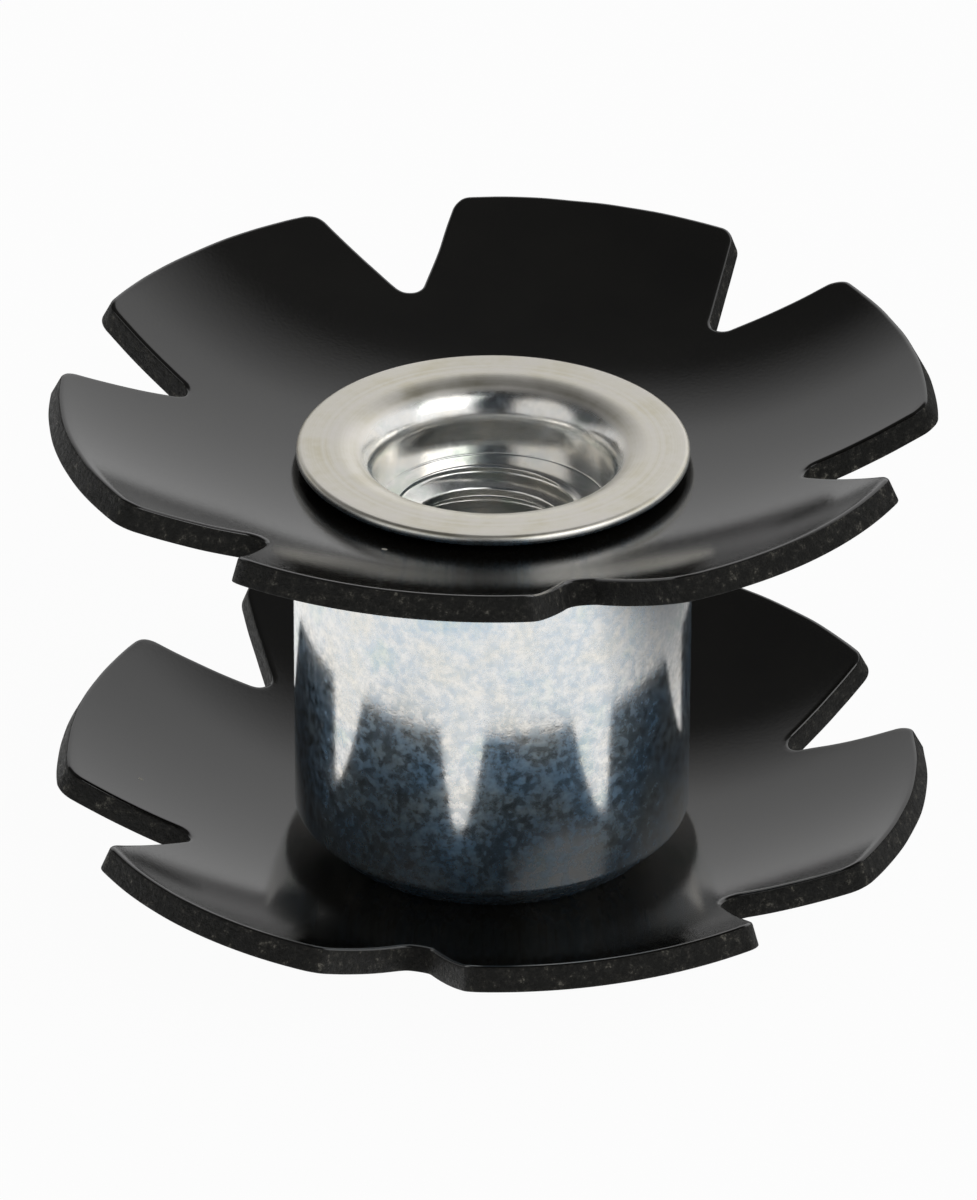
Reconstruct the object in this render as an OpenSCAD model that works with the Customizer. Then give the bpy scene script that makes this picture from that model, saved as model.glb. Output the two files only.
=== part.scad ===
// Star nut for a steerer tube of 25.4 mm bore.
//
// A turned barrel, threaded right through, carries two spring steel stars. Each
// end of the barrel is a short tenon that goes through a star and is flared over
// its hub, so that the star is held against the barrel's shoulder. Both stars are
// dished upwards: the nut slides down the tube, and the rims of the petals bite
// into its wall when the bolt pulls the nut up.
//
// Millimetres, with +Z up the thread axis. The origin is the middle of the lower
// rim's flat face, on which the nut stands. -Y is the front.

/* [Thread] */
// Nominal diameter of the thread through the barrel
thread_d = 6; // [5:0.5:6.5]
// Pitch of the thread
thread_pitch = 1; // [0.8:0.1:1.2]

/* [Barrel] */
// Diameter of the barrel between the stars
barrel_d = 12.3; // [11.6:0.1:15]
// Length of the barrel from shoulder to shoulder
barrel_length = 11.85; // [8:0.05:20]
// Bevel round each end of the barrel
barrel_bevel = 0.9; // [0.3:0.1:1]
// Wall of the tenon where it goes through the star
tenon_wall = 1.1; // [0.8:0.05:1.2]

/* [Rims] */
// Diameter of the rim flared over each star
rim_d = 12.1; // [11.6:0.1:14]
// Height of the rim over the star's hub
rim_height = 0.65; // [0.6:0.05:1.4]
// Thickness of the rim at its rounded edge
rim_edge = 0.5; // [0.3:0.05:0.6]
// Width of the rim's ring that presses on the hub
rim_grip = 0.35; // [0.2:0.05:0.5]
// Radius of the flare between the rim's face and the throat
flare_r = 1.2; // [0.8:0.1:1.4]
// Depth of the throat under the rim's face
throat_depth = 2.25; // [1.8:0.05:3]
// Step from the thread's outer radius to the throat's wall
throat_step = 0.6; // [0.3:0.05:0.7]
// Chamfer at each mouth of the thread, in the floor of the throat
thread_chamfer = 0.25; // [0.1:0.05:0.6]

/* [Stars] */
// Diameter over the rims of the petals
star_d = 27.2; // [24:0.1:30]
// Thickness of the sheet
star_thickness = 0.8; // [0.6:0.05:1.1]
// Number of petals
petals = 6; // [4:1:7]
// Radial gap between the star's bore and the tenon
bore_gap = 0.04; // [0.02:0.01:0.08]
// Width of the flat hub outside the barrel's shoulder
hub_margin = 0.2; // [0.1:0.05:0.5]
// Slope of the dish next to the hub, in degrees
dish_inner_slope = 8.5; // [5:0.5:11]
// Slope of the dish at the rims of the petals, in degrees
dish_rim_slope = 28.5; // [24:0.5:33]
// Direction of a slot in the upper star, in degrees from the front
upper_turn = 15; // [0:1:59]
// Direction of a slot in the lower star, in degrees from the front
lower_turn = -13; // [-59:1:0]

/* [Slots] */
// Diameter of the circle that the inner ends of the slots touch
slot_circle_d = 19.6; // [17:0.1:21]
// Width of a slot where it leaves the star
slot_mouth_w = 5; // [3:0.1:5.5]
// Radius of a slot's rounded inner end
slot_root_r = 0.55; // [0.4:0.05:0.9]
// Radius on the corners of the petals
petal_corner_r = 0.65; // [0.3:0.05:1.2]

/* [Hidden] */

turned_fn = 96;        // facets round the axis
small_fn = 48;         // facets of a small circle
dish_fn = 360;         // facets of the dish's wide circle
past = 1;              // how far a cutter runs past what it cuts

// Heights, from the lower rim's face up
lower_star_z = rim_height;
lower_shoulder_z = lower_star_z + star_thickness;
upper_star_z = lower_shoulder_z + barrel_length;
mid_z = lower_shoulder_z + barrel_length / 2;
half_height = barrel_length / 2 + star_thickness + rim_height;

// Barrel radii, from the axis out
thread_minor_r = (thread_d - thread_pitch) / 2;
throat_r = thread_d / 2 + throat_step;
tenon_r = throat_r + tenon_wall;
shoulder_r = barrel_d / 2 - barrel_bevel;
rim_seat_r = tenon_r + rim_grip;
edge_r = rim_edge / 2;
edge_centre_r = rim_d / 2 - edge_r;

// Star section: the dish is a slice of a ball's shell that meets the flat hub.
// A point on the sheet's upper face lies dish_r from dish_centre.
star_bore_r = tenon_r + bore_gap;
hub_flat_r = shoulder_r + hub_margin;
rim_top_r = star_d / 2 - star_thickness * sin(dish_rim_slope);
dish_r = (rim_top_r - hub_flat_r) / (sin(dish_rim_slope) - sin(dish_inner_slope));
dish_centre = [hub_flat_r, star_thickness]
    + dish_r * [-sin(dish_inner_slope), cos(dish_inner_slope)];

// Slot plan, with x out along the slot and y across it. Its side is tangent to the
// circle of its inner end and passes through the corner of its mouth.
slot_pitch = 360 / petals;
root_centre_x = slot_circle_d / 2 + slot_root_r;
mouth_corner = [sqrt(pow(star_d / 2, 2) - pow(slot_mouth_w / 2, 2)), slot_mouth_w / 2];
to_mouth = mouth_corner - [root_centre_x, 0];
slot_flare = atan2(to_mouth.y, to_mouth.x) - asin(slot_root_r / norm(to_mouth));
along = [cos(slot_flare), sin(slot_flare)];
across = [-sin(slot_flare), cos(slot_flare)];
side_start = [root_centre_x, 0] + slot_root_r * across;

// Petal corner: a circle tangent to the slot's side and to the petal's rim
petal_rim_r = (star_d / 2 + rim_top_r) / 2;
corner_start = side_start + petal_corner_r * across;
corner_run = sqrt(pow(petal_rim_r - petal_corner_r, 2) - corner_start * corner_start
    + pow(corner_start * along, 2)) - corner_start * along;
corner_centre = corner_start + corner_run * along;

// A closed outline, anticlockwise, from the points of its half above y = 0
function mirrored(points) = concat([for (p = points) [p.x, -p.y]],
    [for (i = [len(points) - 1:-1:0]) points[i]]);

// The slice of a disc between two directions, in degrees from +X, with a facet's
// corner on the first
module sector(centre, radius, from, to) {
    reach = 2 * radius;
    translate(centre) intersection() {
        rotate(from) circle(radius);
        polygon([[0, 0], for (a = [from, (from + to) / 2, to]) reach * [cos(a), sin(a)]]);
    }
}

// Section through one side of a star, standing on its hub's lower face
module star_section() {
    rim_ray = [sin(dish_rim_slope), -cos(dish_rim_slope)];
    rim_foot = dish_centre + dish_centre.y / cos(dish_rim_slope) * rim_ray;
    rim_over = dish_centre + (dish_r - past) * rim_ray;
    difference() {
        intersection() {
            polygon([[star_bore_r, 0], rim_foot, rim_over, [star_bore_r, rim_over.y]]);
            translate(dish_centre) circle(dish_r + star_thickness, $fn = dish_fn);
        }
        intersection() {
            translate([0, star_thickness]) square(star_d);
            translate(dish_centre) circle(dish_r, $fn = dish_fn);
        }
    }
}

// Plan of one slot, along +X, with the petals' corners rounded beside its mouth
module slot_plan() {
    corner_foot = corner_centre - petal_corner_r * across;
    outward = corner_centre / norm(corner_centre);
    difference() {
        polygon(mirrored([[root_centre_x, 0], side_start, corner_foot, corner_centre,
            (star_d / 2 + past) * outward]));
        for (side = [0, 1]) mirror([0, side])
            translate(corner_centre) rotate(slot_flare - 90)
                circle(petal_corner_r, $fn = small_fn);
    }
    // Each half of the rounded end laps 30 degrees of its circle over the slot
    for (side = [0, 1]) mirror([0, side])
        sector([root_centre_x, 0], slot_root_r, slot_flare + 60, 180, $fn = small_fn);
}

// One star, standing on its hub's lower face, with a slot turned from the front
module star(turn) {
    rotate([0, 0, turn - 90]) difference() {
        rotate_extrude($fn = turned_fn) star_section();
        for (i = [0:petals - 1]) rotate([0, 0, i * slot_pitch])
            translate([0, 0, -past]) linear_extrude(star_d / 2) slot_plan();
    }
}

// Outline of one side of the barrel, its middle at y = 0, with solid rims
module barrel_outline() {
    rim_y = half_height;
    star_y = rim_y - rim_height;
    shoulder_y = star_y - star_thickness;
    polygon(mirrored([
        [0, rim_y],
        [edge_centre_r, rim_y],
        [edge_centre_r, rim_y - rim_edge],
        [rim_seat_r, star_y],
        [tenon_r, star_y],
        [tenon_r, shoulder_y],
        [shoulder_r, shoulder_y],
        [barrel_d / 2, shoulder_y - barrel_bevel],
    ]));
    for (end = [-1, 1])
        sector([edge_centre_r, end * (rim_y - edge_r)], edge_r, -90, 90, $fn = small_fn);
}

// What is open at the upper end: the flared mouth, the throat and the thread's chamfer
module mouth_outline() {
    rim_y = half_height;
    foot_y = rim_y - throat_depth;
    flare_centre = [throat_r + flare_r, rim_y - flare_r];
    difference() {
        polygon([
            [0, rim_y + past],
            [flare_centre.x, rim_y + past],
            flare_centre,
            [throat_r, flare_centre.y],
            [throat_r, foot_y],
            [thread_minor_r + thread_chamfer, foot_y],
            [thread_minor_r, foot_y - thread_chamfer],
            [0, foot_y - thread_chamfer],
        ]);
        sector(flare_centre, flare_r, 90, 180, $fn = small_fn);
    }
}

module nut_barrel() {
    color("#b4b8ba") translate([0, 0, mid_z]) rotate_extrude($fn = turned_fn) difference() {
        barrel_outline();
        translate([0, -half_height - past])
            square([thread_minor_r, 2 * (half_height + past)]);
        for (end = [0, 1]) mirror([0, end]) mouth_outline();
    }
}

module upper_star() {
    color("#23221f") translate([0, 0, upper_star_z]) star(upper_turn);
}

module lower_star() {
    color("#23221f") translate([0, 0, lower_star_z]) star(lower_turn);
}

nut_barrel();
upper_star();
lower_star();
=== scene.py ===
import bpy
import numpy as np
from mathutils import Matrix, Vector


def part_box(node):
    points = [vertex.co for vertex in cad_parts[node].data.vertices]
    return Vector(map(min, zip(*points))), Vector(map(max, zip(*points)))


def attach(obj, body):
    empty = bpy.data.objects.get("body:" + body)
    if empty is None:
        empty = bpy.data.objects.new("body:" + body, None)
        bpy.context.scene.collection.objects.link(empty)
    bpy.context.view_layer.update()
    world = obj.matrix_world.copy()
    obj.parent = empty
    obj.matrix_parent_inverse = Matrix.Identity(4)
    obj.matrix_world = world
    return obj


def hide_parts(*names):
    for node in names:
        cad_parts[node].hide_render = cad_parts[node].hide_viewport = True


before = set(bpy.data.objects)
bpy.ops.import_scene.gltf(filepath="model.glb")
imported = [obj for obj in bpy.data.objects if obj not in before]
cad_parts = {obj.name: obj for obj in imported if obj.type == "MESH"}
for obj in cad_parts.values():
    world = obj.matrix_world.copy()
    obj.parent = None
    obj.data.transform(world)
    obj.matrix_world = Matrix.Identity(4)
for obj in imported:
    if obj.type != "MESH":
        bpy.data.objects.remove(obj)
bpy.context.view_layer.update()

MM = 0.001

# ---------------------------------------------------------------- sizes, mm

# Thread, M6 x 1
THREAD_D = 6.0
PITCH = 1.0
THREAD_DEPTH = 0.5413 * PITCH        # height of the cut thread, 5/8 of its sharp triangle
CREST_FLAT = PITCH / 4
FLANK_SLOPE = np.radians(60)         # of a flank, from the axis
CREST_SOFT = 0.03                    # half the depth over which crest and root round off

# Barrel, as the solid has it
BEVEL = 0.9
TENON_WALL = 1.1
RIM_D = 12.1
RIM_HEIGHT = 0.65
RIM_EDGE = 0.35                      # finer than the solid's 0.5
RIM_GRIP = 0.35
FLARE_R = 1.2
THROAT_DEPTH = 2.25
THROAT_STEP = 0.6
MOUTH_CHAMFER = 0.25
SHARP_EDGE_R = 0.06                  # what deburring leaves on a turned edge
BEVEL_FOOT_R = 0.12                  # softer, where the bevel meets the body
THROAT_FOOT_R = 0.05

# Stars
SHEET = 0.8
BORE_GAP = 0.04
HUB_MARGIN = 0.2
INNER_SLOPE = np.radians(8.5)
RIM_SLOPE = np.radians(28.5)
HUB_BEND = 0.7                       # half the length of the bend beside the hub
PETALS = 6
SLOT_CIRCLE_D = 19.6
SLOT_MOUTH_W = 5.0
SLOT_ROOT_R = 0.55
PETAL_CORNER_R = 0.65
ROLLOVER = 0.13                      # how far the punch rounds the upper edge
BREAKOUT = 0.05                      # radius left on the lower edge
TORN = 0.02                          # how far the sheared edge wanders from its line
UPPER_TURN = 15                      # direction of a slot, in degrees from the front
LOWER_TURN = -13

AROUND = 192                         # columns round the barrel
BORE_ROWS = 270                      # rows down the bore, about 22 to a turn of the thread
FACE_ROWS = 38                       # rows across a star's face


def box_mm(node):
    """Lowest and highest corners of a CAD node in mm."""
    low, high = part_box(node)
    return np.array(low) / MM, np.array(high) / MM


barrel_low, barrel_high = box_mm("nut_barrel")
upper_low, upper_high = box_mm("upper_star")
lower_low, lower_high = box_mm("lower_star")

BARREL_R = barrel_high[0]
HEIGHT = barrel_high[2] - barrel_low[2]
STAR_D = upper_high[0] - upper_low[0]
THREAD_R = THREAD_D / 2
MINOR_R = THREAD_R - THREAD_DEPTH
THROAT_R = THREAD_R + THROAT_STEP
TENON_R = THROAT_R + TENON_WALL
SHOULDER_R = BARREL_R - BEVEL


# ------------------------------------------------------------------ meshes

def grid_faces(rows, columns, wrap_rows=False):
    """Quads of a grid whose columns always close on themselves. Corner order
    turns the faces towards the left of a row's direction, seen from outside."""
    last = rows if wrap_rows else rows - 1
    r, c = np.meshgrid(np.arange(last), np.arange(columns), indexing="ij")
    r2, c2 = (r + 1) % rows, (c + 1) % columns
    corners = [r * columns + c, r * columns + c2, r2 * columns + c2, r2 * columns + c]
    return np.stack(corners, axis=-1).reshape(-1, 4)


def new_mesh(name, points, quads, materials, slots=None):
    """A smooth-shaded object from an array of points in mm, an array of quads
    and, for each quad, the number of its material."""
    mesh = bpy.data.meshes.new(name)
    mesh.from_pydata((points.reshape(-1, 3) * MM).tolist(), [], quads.tolist())
    for material in materials:
        mesh.materials.append(material)
    if slots is not None:
        mesh.polygons.foreach_set("material_index", slots.astype(np.int32))
    mesh.shade_smooth()
    mesh.validate()
    mesh.update()
    obj = bpy.data.objects.new(name, mesh)
    bpy.context.collection.objects.link(obj)
    return obj


def arc(centre, radius, start, end, count):
    """Points at centre + radius * (cos a, sin a), with a from start to end in degrees."""
    a = np.radians(np.linspace(start, end, count))
    return np.stack([centre[0] + radius * np.cos(a), centre[1] + radius * np.sin(a)], axis=1)


def line(a, b, count=2):
    """Points evenly along the straight line from a to b."""
    t = np.linspace(0, 1, count)[:, None]
    return np.array(a) * (1 - t) + np.array(b) * t


def blunt(corner, before, after, radius=SHARP_EDGE_R, count=5):
    """A corner of an outline rounded by an arc: quadratic curve from a point
    radius before the corner to one radius after it, with the corner as its pull."""
    corner, before, after = (np.array(p, float) for p in (corner, before, after))
    start = corner + radius * (before - corner) / np.linalg.norm(before - corner)
    end = corner + radius * (after - corner) / np.linalg.norm(after - corner)
    t = np.linspace(0, 1, count)[:, None]
    return (1 - t) ** 2 * start + 2 * t * (1 - t) * corner + t ** 2 * end


# ------------------------------------------------------------------ barrel

def end_outline():
    """Outline of the barrel's upper end as (radius, height under the rim's face), from
    the bevel up the outside, over the rim, down the throat and in over its floor."""
    star_y = -RIM_HEIGHT
    shoulder_y = star_y - SHEET
    edge_r = RIM_EDGE / 2
    edge = (RIM_D / 2 - edge_r, -edge_r)
    seat = (TENON_R + RIM_GRIP, star_y)
    bevel_foot = (BARREL_R, shoulder_y - BEVEL)
    shoulder = (SHOULDER_R, shoulder_y)
    foot = (THROAT_R, -THROAT_DEPTH)
    flare = (THROAT_R + FLARE_R, -FLARE_R)
    run, rise = edge[0] - seat[0], edge[1] - seat[1]
    under = np.degrees(np.arctan2(rise, run) - np.arcsin(edge_r / np.hypot(run, rise)))
    return np.concatenate([
        blunt(bevel_foot, (BARREL_R, bevel_foot[1] - 1), shoulder, BEVEL_FOOT_R),
        blunt(shoulder, bevel_foot, (TENON_R, shoulder_y)),
        line((TENON_R, shoulder_y), (TENON_R, star_y)),
        np.array([seat]),
        arc(edge, edge_r, under - 90, 90, 22),
        line((edge[0] - 0.15, 0), (flare[0] + 0.1, 0), 6),
        arc(flare, FLARE_R, 90, 180, 28),
        line((THROAT_R, -FLARE_R - 0.1), (THROAT_R, foot[1] + 0.1), 5),
        blunt(foot, (THROAT_R, 0), (THREAD_R, foot[1]), THROAT_FOOT_R),
        line((THROAT_R - 0.1, foot[1]), (THREAD_R + 0.03, foot[1]), 4),
    ])


def soft_floor(depth):
    """A depth held above 0, with a parabola from -CREST_SOFT to CREST_SOFT."""
    parabola = np.maximum(depth + CREST_SOFT, 0) ** 2 / (4 * CREST_SOFT)
    return np.where(depth < CREST_SOFT, parabola, depth)


def thread_radius(angle, height):
    """Radius of a right-hand internal thread: a 60 degree V between a flat crest and a
    rounded root, as a function of the turn's phase, height / pitch - angle / full turn."""
    phase = (height / PITCH - angle / (2 * np.pi)) % 1.0
    from_crest = np.abs(phase - 0.5) * PITCH          # 0 at the crest's middle
    sharp = (from_crest - CREST_FLAT / 2) * np.tan(FLANK_SLOPE)
    depth = soft_floor(sharp)
    depth = THREAD_DEPTH - soft_floor(THREAD_DEPTH - depth)
    return MINOR_R + np.clip(depth, 0, THREAD_DEPTH)


def barrel_points():
    """The whole turned surface as rows of one closed outline: up the body, over the
    upper end, down the bore, where the radius is the larger of the thread's and its
    two chamfers', and round the lower end."""
    end = end_outline()
    top = barrel_high[2]
    upper = np.stack([end[:, 0], top + end[:, 1]], axis=1)
    lower = np.stack([end[::-1, 0], barrel_low[2] - end[::-1, 1]], axis=1)
    angle = np.linspace(0, 2 * np.pi, AROUND, endpoint=False)
    bore_top, bore_foot = upper[-1, 1], lower[0, 1]
    bore_z = np.linspace(bore_top, bore_foot, BORE_ROWS)[:, None]
    chamfer = MINOR_R + MOUTH_CHAMFER - np.minimum(bore_top - bore_z, bore_z - bore_foot)
    bore_r = np.maximum(thread_radius(angle[None, :], bore_z), chamfer)
    outside = np.concatenate([lower, line(lower[-1], upper[0], 8)[1:-1], upper])
    radius = np.concatenate([np.repeat(outside[:, :1], AROUND, axis=1), bore_r])
    height = np.concatenate([np.repeat(outside[:, 1:], AROUND, axis=1),
                             np.repeat(bore_z, AROUND, axis=1)])
    return np.stack([radius * np.cos(angle), radius * np.sin(angle), height], axis=-1)


def make_barrel(material):
    """The barrel: rings of points joined round the axis and closed end to end."""
    points = barrel_points()
    rows, columns = points.shape[:2]
    quads = grid_faces(rows, columns, wrap_rows=True)
    return new_mesh("turned_barrel", points, quads, [material])


# ------------------------------------------------------------------- stars

HUB_FLAT_R = SHOULDER_R + HUB_MARGIN
STAR_BORE_R = TENON_R + BORE_GAP
RIM_TOP_R = STAR_D / 2 - SHEET * np.sin(RIM_SLOPE)
DISH_R = (RIM_TOP_R - HUB_FLAT_R) / (np.sin(RIM_SLOPE) - np.sin(INNER_SLOPE))
ROOT_CENTRE = SLOT_CIRCLE_D / 2 + SLOT_ROOT_R


def dish(rho):
    """Height over the hub and slope of the sheet's upper face at a radius: flat, then a
    ball of radius DISH_R, with a parabola over the bend between them."""
    sine = np.sin(INNER_SLOPE) + (rho - HUB_FLAT_R) / DISH_R
    ball = DISH_R * (np.cos(INNER_SLOPE) - np.sqrt(1 - sine ** 2))
    slope = np.arcsin(sine)
    over = np.clip((rho - HUB_FLAT_R + HUB_BEND) / (2 * HUB_BEND), 0, 1)
    end_sine = np.sin(INNER_SLOPE) + HUB_BEND / DISH_R
    end_ball = DISH_R * (np.cos(INNER_SLOPE) - np.sqrt(1 - end_sine ** 2))
    end_tan = np.tan(np.arcsin(end_sine))
    bend = end_ball - HUB_BEND * end_tan * (1 - over ** 2)
    flat = end_ball - HUB_BEND * end_tan
    height = np.where(over >= 1, ball, np.where(over <= 0, flat, bend)) - flat
    tilt = np.where(over >= 1, slope, np.arctan(over * end_tan))
    return height, tilt


def petal_outline():
    """Half a petal's outline in plan, from the middle of a slot's inner end to the
    middle of the petal's rim: arc, straight side, corner arc and rim arc, as x along
    the slot and y across it."""
    mouth = np.array([np.sqrt((STAR_D / 2) ** 2 - (SLOT_MOUTH_W / 2) ** 2), SLOT_MOUTH_W / 2])
    to_mouth = mouth - [ROOT_CENTRE, 0]
    flare = np.arctan2(to_mouth[1], to_mouth[0]) - np.arcsin(SLOT_ROOT_R / np.hypot(*to_mouth))
    along = np.array([np.cos(flare), np.sin(flare)])
    across = np.array([-np.sin(flare), np.cos(flare)])
    start = np.array([ROOT_CENTRE, 0]) + PETAL_CORNER_R * across + SLOT_ROOT_R * across
    reach = RIM_TOP_R - PETAL_CORNER_R
    run = -start @ along + np.sqrt((start @ along) ** 2 - start @ start + reach ** 2)
    corner = start + run * along
    turn = np.degrees(flare)
    outward = np.degrees(np.arctan2(corner[1], corner[0]))
    root = arc((ROOT_CENTRE, 0), SLOT_ROOT_R, 180, 90 + turn, 12)
    knee = arc(corner, PETAL_CORNER_R, turn - 90, outward, 12)
    side = line(root[-1], knee[0], 18)
    rim = arc((0, 0), RIM_TOP_R, outward, 180 / PETALS, 20)
    return np.concatenate([root, side[1:-1], knee, rim[1:]])


def star_outline():
    """The whole outline as complex numbers: half a petal, its reflection, and five
    turned copies."""
    half = petal_outline() @ np.array([1, 1j])
    middle = np.exp(2j * np.pi / PETALS)
    other = np.conj(half[1:-1][::-1]) * middle
    petal = np.concatenate([half, other])
    return np.concatenate([petal * middle ** k for k in range(PETALS)])


def inward_normals(outline):
    """Unit vectors to the left of a closed anticlockwise outline, from the
    difference of each point's neighbours."""
    ahead = np.roll(outline, -1) - np.roll(outline, 1)
    return 1j * ahead / np.abs(ahead)


def ragged(count, seed):
    """Random steps round a closed line, smoothed by a bell curve over their frequency."""
    step = np.random.default_rng(seed).normal(0, 1, count)
    bell = np.exp(-(np.fft.fftfreq(count) * 9) ** 2)
    return np.real(np.fft.ifft(np.fft.fft(step) * bell))


def star_points(turn, base_z, seed):
    """The sheet as rows round the star: out over the upper face, round the rolled
    upper edge, down the sheared edge, in under the lower face and up the bore. A row's
    points lie at a plan place on the upper face and a depth along the sheet's normal."""
    outline = star_outline()
    inward = inward_normals(outline)
    spread = np.linspace(0, 1, FACE_ROWS + 1) ** 0.9
    roll = np.radians(np.linspace(0, 90, 7))
    out = np.radians(np.linspace(0, 90, 4))
    wall = np.linspace(ROLLOVER, SHEET - BREAKOUT, 7)[1:-1]
    inset = np.concatenate([ROLLOVER * (1 - np.sin(roll)), np.zeros(len(wall)),
                            BREAKOUT * (1 - np.cos(out))])
    depth = np.concatenate([ROLLOVER * (1 - np.cos(roll)), wall,
                            SHEET - BREAKOUT * (1 - np.sin(out))])
    edge = outline + (inset[:, None] + TORN * ragged(len(outline), seed)) * inward
    face_edge = outline + ROLLOVER * inward
    bore = STAR_BORE_R * np.exp(1j * np.angle(face_edge))
    upper = bore + (edge[0] - bore) * spread[:, None]
    lower = bore + (edge[-1] - bore) * spread[::-1, None]
    plan = np.concatenate([upper[:-1], edge, lower[1:]])
    depths = np.concatenate([np.zeros(FACE_ROWS), depth, np.full(FACE_ROWS, SHEET)])[:, None]
    rho = np.abs(plan)
    height, tilt = dish(rho)
    radius = rho + depths * np.sin(tilt)
    z = base_z + SHEET + height - depths * np.cos(tilt)
    point = plan / rho * radius * np.exp(1j * np.radians(turn - 90))
    rows = np.arange(len(plan))
    edge_rows = (rows >= FACE_ROWS + 4) & (rows < FACE_ROWS + len(edge))
    return np.stack([point.real, point.imag, z], axis=-1), edge_rows


def make_star(name, turn, base_z, seed, face, sheared):
    """One star, with the sheared band of its edge in its own finish."""
    points, edge_rows = star_points(turn, base_z, seed)
    rows, columns = points.shape[:2]
    quads = grid_faces(rows, columns, wrap_rows=True)[:, ::-1]
    slots = np.repeat(edge_rows, columns)
    return new_mesh(name, points, quads, [face, sheared], slots)


# --------------------------------------------------------------- materials

def linear(hex_colour):
    """An sRGB hex colour as linear RGBA."""
    parts = np.array([int(hex_colour[i:i + 2], 16) for i in (1, 3, 5)]) / 255
    low, high = parts / 12.92, ((parts + 0.055) / 1.055) ** 2.4
    return (*np.where(parts <= 0.04045, low, high).tolist(), 1.0)


def add(tree, kind, inputs=None, **settings):
    """One node with its settings, and its inputs as values or as links."""
    node = tree.nodes.new(kind)
    for key, value in settings.items():
        setattr(node, key, value)
    for key, value in (inputs or {}).items():
        if isinstance(value, bpy.types.NodeSocket):
            tree.links.new(value, node.inputs[key])
        else:
            node.inputs[key].default_value = value
    return node


def ramp(tree, factor, *stops):
    """A colour ramp through (place, hex colour) stops."""
    node = add(tree, "ShaderNodeValToRGB", {"Fac": factor})
    while len(node.color_ramp.elements) < len(stops):
        node.color_ramp.elements.new(0.5)
    for element, (place, colour) in zip(node.color_ramp.elements, stops):
        element.position = place
        element.color = linear(colour)
    return node.outputs["Color"]


def new_material(name):
    """An empty material, its tree and its Object coordinates in metres."""
    material = bpy.data.materials.new(name)
    material.use_nodes = True
    tree = material.node_tree
    tree.nodes.clear()
    place = add(tree, "ShaderNodeTexCoord").outputs["Object"]
    return material, tree, place


def noise(tree, place, size_mm, detail=2.0, rough=0.5):
    """Noise with features of about size_mm."""
    node = add(tree, "ShaderNodeTexNoise", {"Vector": place, "Scale": 1 / (size_mm * MM),
                                            "Detail": detail, "Roughness": rough})
    return node.outputs["Fac"]


def span(tree, value, low, high, to_low, to_high):
    """A value mapped from one range to another, and held at its ends."""
    node = add(tree, "ShaderNodeMapRange", {"Value": value, "From Min": low, "From Max": high,
                                            "To Min": to_low, "To Max": to_high})
    return node.outputs["Result"]


def math(tree, operation, a, b=0.0):
    """One step of arithmetic."""
    return add(tree, "ShaderNodeMath", {0: a, 1: b}, operation=operation).outputs["Value"]


def times(tree, a, b):
    """A product."""
    return math(tree, "MULTIPLY", a, b)


def dot(tree, vector, direction):
    """How far a vector reaches along a direction."""
    return add(tree, "ShaderNodeVectorMath", {0: vector, 1: direction},
               operation="DOT_PRODUCT").outputs["Value"]


def blend(tree, share, a, b):
    """Colour a, with a share of colour b."""
    return add(tree, "ShaderNodeMix", {"Factor": share, "A": a, "B": b},
               data_type="RGBA").outputs[2]


def bump(tree, height, distance_mm):
    """A bump of a real height in mm."""
    return add(tree, "ShaderNodeBump", {"Height": height, "Distance": distance_mm * MM,
                                        "Strength": 1.0}).outputs["Normal"]


def close(tree, shader):
    """Joins a shader to the material's output."""
    add(tree, "ShaderNodeOutputMaterial", {"Surface": shader})


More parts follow.
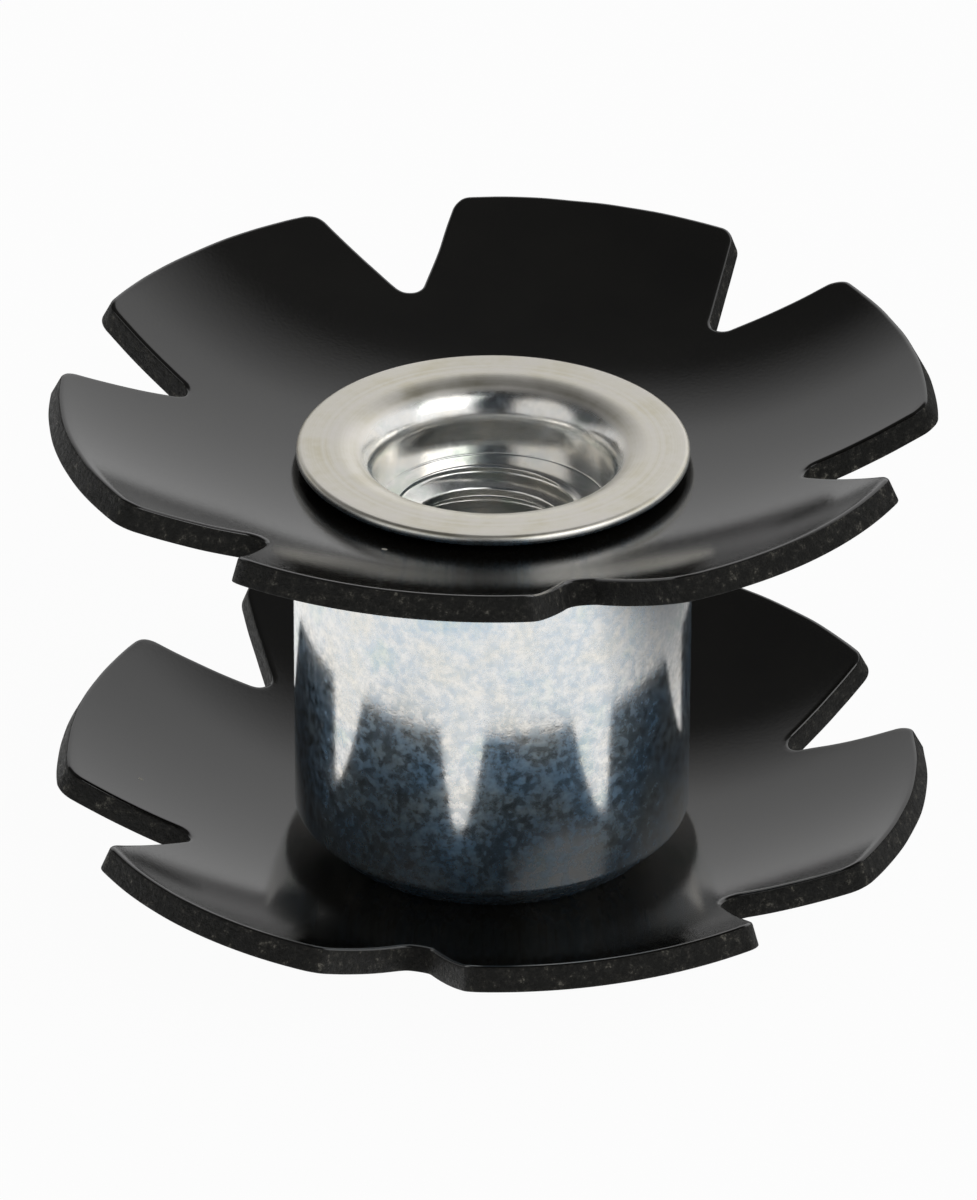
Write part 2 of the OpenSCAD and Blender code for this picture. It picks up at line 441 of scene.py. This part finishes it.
def zinc_plate():
    """Bright zinc plate with a blue-white passivation over turned steel: a cold mirror a little
    blurred, under a blue haze of fine crystals that shows where the mirror is dark, and is
    thinner in the throat. The haze is painted stronger on the front of the barrel, as painted
    front light. The flaring tool leaves the rims' faces matt and warm, with faint rings."""
    material, tree, place = new_material("zinc_plate_blue_passivated")
    xyz = add(tree, "ShaderNodeSeparateXYZ", {"Vector": place}).outputs
    radius = math(tree, "SQRT", math(tree, "ADD", times(tree, xyz["X"], xyz["X"]),
                                     times(tree, xyz["Y"], xyz["Y"])))

    # The pressed zone: near either end's face, deeper at the flare than at the edge
    middle = (barrel_low[2] + barrel_high[2]) / 2 * MM
    from_middle = math(tree, "ABSOLUTE", math(tree, "SUBTRACT", xyz["Z"], middle))
    depth = math(tree, "SUBTRACT", HEIGHT / 2 * MM, from_middle)
    reach = span(tree, radius, 4.6 * MM, 5.0 * MM, 0.30 * MM, 0.10 * MM)
    near_face = span(tree, math(tree, "SUBTRACT", reach, depth), -0.10 * MM, 0.06 * MM, 0, 1)
    pressed = times(tree, near_face, span(tree, radius, 3.85 * MM, 4.15 * MM, 0, 1))

    clouds = noise(tree, place, 1.6, 4.0, 0.6)
    crystals = noise(tree, place, 0.30, 3.0, 0.6)
    from_axis = add(tree, "ShaderNodeCombineXYZ", {"X": radius}).outputs["Vector"]
    rings = noise(tree, from_axis, 0.22, 2.0, 0.6)
    blotches = math(tree, "ADD", times(tree, clouds, 0.55), times(tree, rings, 0.45))

    plated = ramp(tree, clouds, (0.32, "#e4e9df"), (0.46, "#f5f3ef"), (0.72, "#f7f1e6"))
    warm = ramp(tree, blotches, (0.36, "#dcd6c2"), (0.5, "#f3efe4"), (0.64, "#fffbf4"))
    smooth = math(tree, "ADD", span(tree, crystals, 0.3, 0.7, 0.10, 0.18),
                  span(tree, radius, 4.6 * MM, 5.4 * MM, 0.05, 0.0))
    matt = span(tree, blotches, 0.36, 0.64, 0.34, 0.48)
    rough = add(tree, "ShaderNodeMix", {"Factor": pressed, "A": smooth, "B": matt},
                data_type="FLOAT").outputs["Result"]
    mirror = add(tree, "ShaderNodeBsdfPrincipled", {
        "Base Color": blend(tree, pressed, plated, warm), "Metallic": 1.0,
        "Roughness": rough, "Normal": bump(tree, crystals, 0.003)}).outputs["BSDF"]

    film = ramp(tree, clouds, (0.35, "#a0cdf2"), (0.65, "#bcd4e2"))
    haze = add(tree, "ShaderNodeBsdfPrincipled", {
        "Base Color": film, "Metallic": 1.0, "Roughness": 0.5}).outputs["BSDF"]
    # Painted light: the haze share is full on the barrel's front and falls to 0.4 towards the
    # sides and back, standing in for the front light on the haze. The haze is also thinner in
    # the throat.
    throat_thin_front_painted = times(tree, span(tree, radius, 3.9 * MM, 5.0 * MM, 0.55, 1.0),
                 span(tree, xyz["Y"], -5.5 * MM, -2.0 * MM, 1.0, 0.4))
    kept = times(tree, throat_thin_front_painted, math(tree, "SUBTRACT", 1.0, pressed))
    veil = times(tree, span(tree, crystals, 0.34, 0.66, 0.14, 0.52), kept)
    mixed = add(tree, "ShaderNodeMixShader", {0: veil, 1: mirror, 2: haze})
    close(tree, mixed.outputs["Shader"])
    return material


def black_oxide():
    """Black oxide, oiled, on cold-rolled spring steel: near black, with a warm grey
    sheen where it faces the light, a grain too fine to see as scratches and a few
    specks of dust."""
    material, tree, place = new_material("black_oxide_spring_steel")
    clouds = noise(tree, place, 3.0, 3.0, 0.6)
    grain = noise(tree, place, 0.12, 3.0, 0.7)
    cell = add(tree, "ShaderNodeTexVoronoi", {"Vector": place, "Scale": 1 / (2.6 * MM)}).outputs
    number = add(tree, "ShaderNodeSeparateColor", {"Color": cell["Color"]}).outputs["Red"]
    speck = times(tree, math(tree, "LESS_THAN", cell["Distance"], 0.035),
                  math(tree, "GREATER_THAN", number, 0.62))
    oxide = ramp(tree, clouds, (0.3, "#0d0c0a"), (0.7, "#141310"))
    rough = math(tree, "ADD", span(tree, grain, 0.3, 0.7, 0.07, 0.14), times(tree, speck, 0.5))
    shader = add(tree, "ShaderNodeBsdfPrincipled", {
        "Base Color": blend(tree, speck, oxide, linear("#a9a69b")), "Metallic": 0.0,
        "Roughness": rough, "IOR": 1.7, "Normal": bump(tree, grain, 0.002)})
    close(tree, shader.outputs["BSDF"])
    return material


def sheared_steel():
    """The blanked edge of the sheet under the same black: a dull, grainy, torn band with a few
    light flecks of bare steel, partly painted glints."""
    material, tree, place = new_material("blanked_edge_black_oxide")
    grain = noise(tree, place, 0.16, 4.0, 0.75)
    flecks = noise(tree, place, 0.30, 4.0, 0.8)
    # The lightest flecks are bare steel at the burrs, painted in as glints of fixed brightness.
    base = ramp(tree, flecks, (0.48, "#11110e"), (0.60, "#2b2a26"), (0.72, "#7d7a71"))
    rough = span(tree, grain, 0.3, 0.7, 0.4, 0.7)
    shader = add(tree, "ShaderNodeBsdfPrincipled", {
        "Base Color": base, "Metallic": 0.0, "Roughness": rough, "IOR": 1.33,
        "Normal": bump(tree, grain, 0.15)})
    close(tree, shader.outputs["BSDF"])
    return material


def white_floor():
    """A matt white sweep. The camera and mirrors see it as paper white, but for mirrors it has
    painted shade towards the back right, and it still takes a light shadow."""
    material, tree, place = new_material("white_sweep")
    path = add(tree, "ShaderNodeLightPath").outputs
    matt = add(tree, "ShaderNodeBsdfDiffuse", {"Color": linear("#f4f4f4")}).outputs["BSDF"]
    # Painted shade: for mirrors the white falls from 1 to 0.12 towards the back right, standing
    # in for shade on that side of the floor.
    aside = span(tree, dot(tree, place, (0.86, 0.51, 0.0)), 0.010, 0.024, 1.0, 0.12)
    level = math(tree, "MAXIMUM", aside, path["Is Camera Ray"])
    white = add(tree, "ShaderNodeEmission", {"Color": (1, 1, 1, 1), "Strength": level})
    share = math(tree, "MAXIMUM", times(tree, path["Is Camera Ray"], 0.96),
                 times(tree, path["Is Glossy Ray"], 0.95))
    mixed = add(tree, "ShaderNodeMixShader", {0: share, 1: matt, 2: white.outputs["Emission"]})
    close(tree, mixed.outputs["Shader"])
    return material


# ------------------------------------------------------------------- stage

def make_floor():
    """A large flat floor under the nut."""
    half = 1500.0
    z = barrel_low[2] - 0.005
    corners = np.array([[-half, -half, z], [half, -half, z], [half, half, z], [-half, half, z]])
    floor = new_mesh("floor", corners, np.array([[0, 1, 2, 3]]), [white_floor()])


def make_light(name, place_mm, size_mm, watts, aim_mm=(0, 0, 8)):
    """A rectangular soft box at a place, turned to a point."""
    data = bpy.data.lights.new(name, "AREA")
    data.shape = "RECTANGLE"
    data.size, data.size_y = size_mm[0] * MM, size_mm[1] * MM
    data.energy = watts
    light = bpy.data.objects.new(name, data)
    bpy.context.collection.objects.link(light)
    place = Vector(place_mm) * MM
    light.location = place
    light.rotation_euler = (place - Vector(aim_mm) * MM).to_track_quat("Z", "Y").to_euler()
    return light


def make_world():
    """White walls under a dim ceiling. The level falls along a tilted direction, so the
    walls are white higher up at the back right. In front a dark figure stands between
    two panels, the left one dimmer. The camera sees white all round."""
    world = bpy.data.worlds.new("studio")
    bpy.context.scene.world = world
    world.use_nodes = True
    tree = world.node_tree
    tree.nodes.clear()
    path = add(tree, "ShaderNodeLightPath").outputs
    towards = add(tree, "ShaderNodeTexCoord").outputs["Generated"]
    xyz = add(tree, "ShaderNodeSeparateXYZ", {"Vector": towards}).outputs
    rise = dot(tree, towards, (-0.28, -0.2, 1.0))
    walls = times(tree, span(tree, rise, 0.40, 0.62, 0.87, 0.09),
                  span(tree, xyz["X"], -0.5, 0.1, 0.7, 1.0))
    front = span(tree, xyz["Y"], -0.25, -0.05, 1.0, 0.0)
    aside = math(tree, "ABSOLUTE", xyz["X"])
    figure = times(tree, front, span(tree, aside, 0.20, 0.36, 0.92, 0.0))
    panels = times(tree, times(tree, front, span(tree, aside, 0.20, 0.40, 0.0, 1.0)),
                   times(tree, span(tree, xyz["Z"], 0.70, 0.90, 1.0, 0.0),
                         span(tree, xyz["X"], -0.3, 0.3, 0.65, 1.05)))
    room = times(tree, walls, math(tree, "SUBTRACT", 1.0, figure))
    level = math(tree, "MAXIMUM", math(tree, "MAXIMUM", room, panels), path["Is Camera Ray"])
    ground = add(tree, "ShaderNodeBackground", {"Color": (1, 1, 1, 1), "Strength": level})
    add(tree, "ShaderNodeOutputWorld", {"Surface": ground.outputs["Background"]})


def make_camera():
    """A long lens on the front, 28.8 degrees above the floor's plane."""
    elevation = np.radians(28.78)
    roll = np.radians(0.186)
    distance = 289.1
    aim = Vector((-0.123, 0, 9.295))
    back = Vector((0, -np.cos(elevation), np.sin(elevation)))
    right = Vector((1, 0, 0))
    up = back.cross(right)
    tilted_right = right * np.cos(roll) + up * np.sin(roll)
    tilted_up = up * np.cos(roll) - right * np.sin(roll)
    data = bpy.data.cameras.new("camera")
    data.sensor_width = 36
    data.lens = 280.65
    data.clip_start = 0.01
    camera = bpy.data.objects.new("camera", data)
    bpy.context.collection.objects.link(camera)
    turn = Matrix((tilted_right, tilted_up, back)).transposed()
    camera.matrix_world = Matrix.Translation((aim + back * distance) * MM) @ turn.to_4x4()
    bpy.context.scene.camera = camera


# ------------------------------------------------------------------- build

scene = bpy.context.scene
scene.view_settings.view_transform = "Standard"

zinc = zinc_plate()
oxide = black_oxide()
sheared = sheared_steel()

barrel = make_barrel(zinc)
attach(barrel, "root")
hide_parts("nut_barrel")

for name, node, turn, low, seed in (
        ("upper_star_sheet", "upper_star", UPPER_TURN, upper_low, 3),
        ("lower_star_sheet", "lower_star", LOWER_TURN, lower_low, 8)):
    star = make_star(name, turn, low[2], seed, oxide, sheared)
    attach(star, "root")
    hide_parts(node)

make_floor()
make_world()
make_light("front_right_softbox", (210, -180, 285), (300, 260), 0.25)
make_camera()
